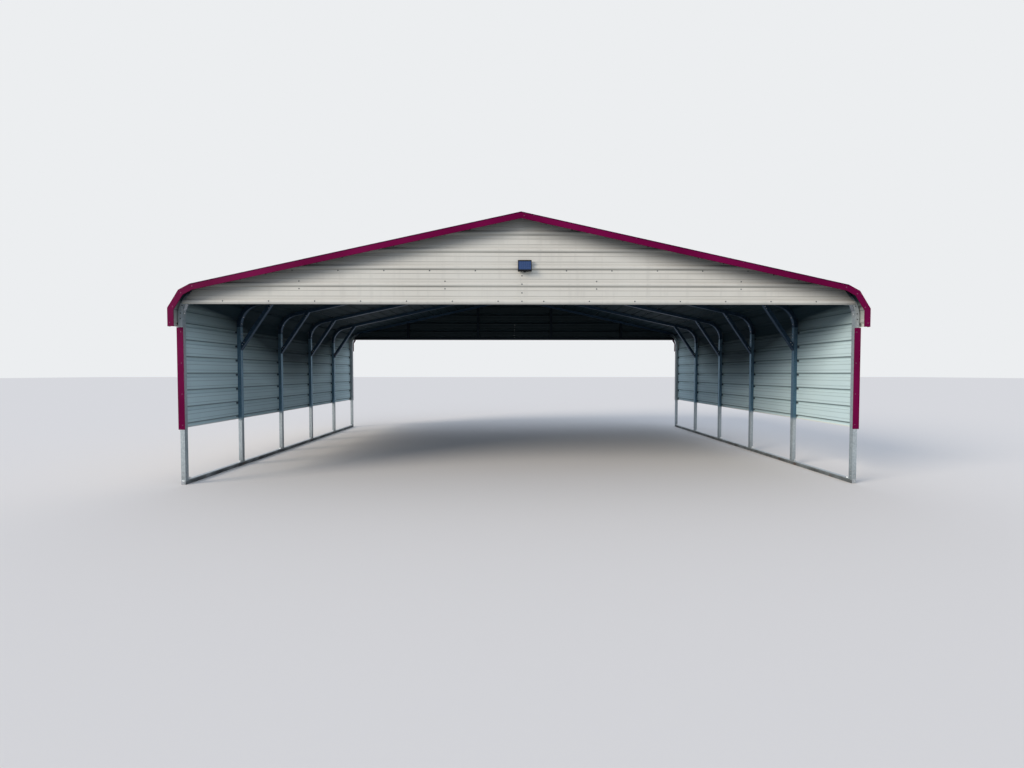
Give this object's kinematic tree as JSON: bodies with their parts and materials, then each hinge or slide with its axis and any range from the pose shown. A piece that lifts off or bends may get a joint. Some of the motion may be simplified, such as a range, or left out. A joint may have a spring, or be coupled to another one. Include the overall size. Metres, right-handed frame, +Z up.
{
  "type": "carport",
  "caption": "Round-eave steel carport: open-ended square-tube frame with ribbed metal roof, half-height side walls, closed gables and dark red trim.",
  "frame": {"origin": "on the ground, on the centreline, midway between the open ends", "axes": "+X to the right seen from the front, +Y from front to back along the ribs, +Z up"},
  "size_m": [9.2314, 6.4168, 3.6117],
  "materials": {
    "galvanised_tube": "hot-dip galvanised square tube, dull grey with faint spangle",
    "zinc_clip": "bright zinc-plated clip",
    "painted_sheet": "factory-painted beige ribbed steel sheet, satin",
    "burgundy_trim": "factory-painted burgundy folded steel trim, satin",
    "light_housing": "black moulded ABS",
    "solar_panel": "dark blue solar cells under a clear sheet",
    "light_sensor": "smoked plastic dome"
  },
  "bodies": {
    "root": {"base_rail_left": "galvanised_tube", "base_rail_right": "galvanised_tube", "bow_1": "galvanised_tube", "bow_2": "galvanised_tube", "bow_3": "galvanised_tube", "bow_4": "galvanised_tube", "bow_5": "galvanised_tube", "bow_6": "galvanised_tube", "corner_trim_back_left": "burgundy_trim", "corner_trim_back_right": "burgundy_trim", "corner_trim_front_left": "burgundy_trim", "corner_trim_front_right": "burgundy_trim", "gable_back_lower_left": "painted_sheet", "gable_back_lower_right": "painted_sheet", "gable_back_upper": "painted_sheet", "gable_front_lower_left": "painted_sheet", "gable_front_lower_right": "painted_sheet", "gable_front_upper": "painted_sheet", "gable_header_back": "galvanised_tube", "gable_header_front": "galvanised_tube", "gable_studs_back": "galvanised_tube", "gable_studs_front": "galvanised_tube", "header_clips": "zinc_clip", "knee_braces_left": "galvanised_tube", "knee_braces_right": "galvanised_tube", "left_legs": "galvanised_tube", "light_housing": "light_housing", "light_panel": "solar_panel", "light_sensor": "light_sensor", "rake_trim_back_left": "burgundy_trim", "rake_trim_back_right": "burgundy_trim", "rake_trim_front_left": "burgundy_trim", "rake_trim_front_right": "burgundy_trim", "right_legs": "galvanised_tube", "roof_sheet_left_1": "painted_sheet", "roof_sheet_left_2": "painted_sheet", "roof_sheet_left_3": "painted_sheet", "roof_sheet_left_4": "painted_sheet", "roof_sheet_left_5": "painted_sheet", "roof_sheet_ridge": "painted_sheet", "roof_sheet_right_1": "painted_sheet", "roof_sheet_right_2": "painted_sheet", "roof_sheet_right_3": "painted_sheet", "roof_sheet_right_4": "painted_sheet", "roof_sheet_right_5": "painted_sheet", "wall_left_lower": "painted_sheet", "wall_left_upper": "painted_sheet", "wall_right_lower": "painted_sheet", "wall_right_upper": "painted_sheet"}
  },
  "joints": []
}
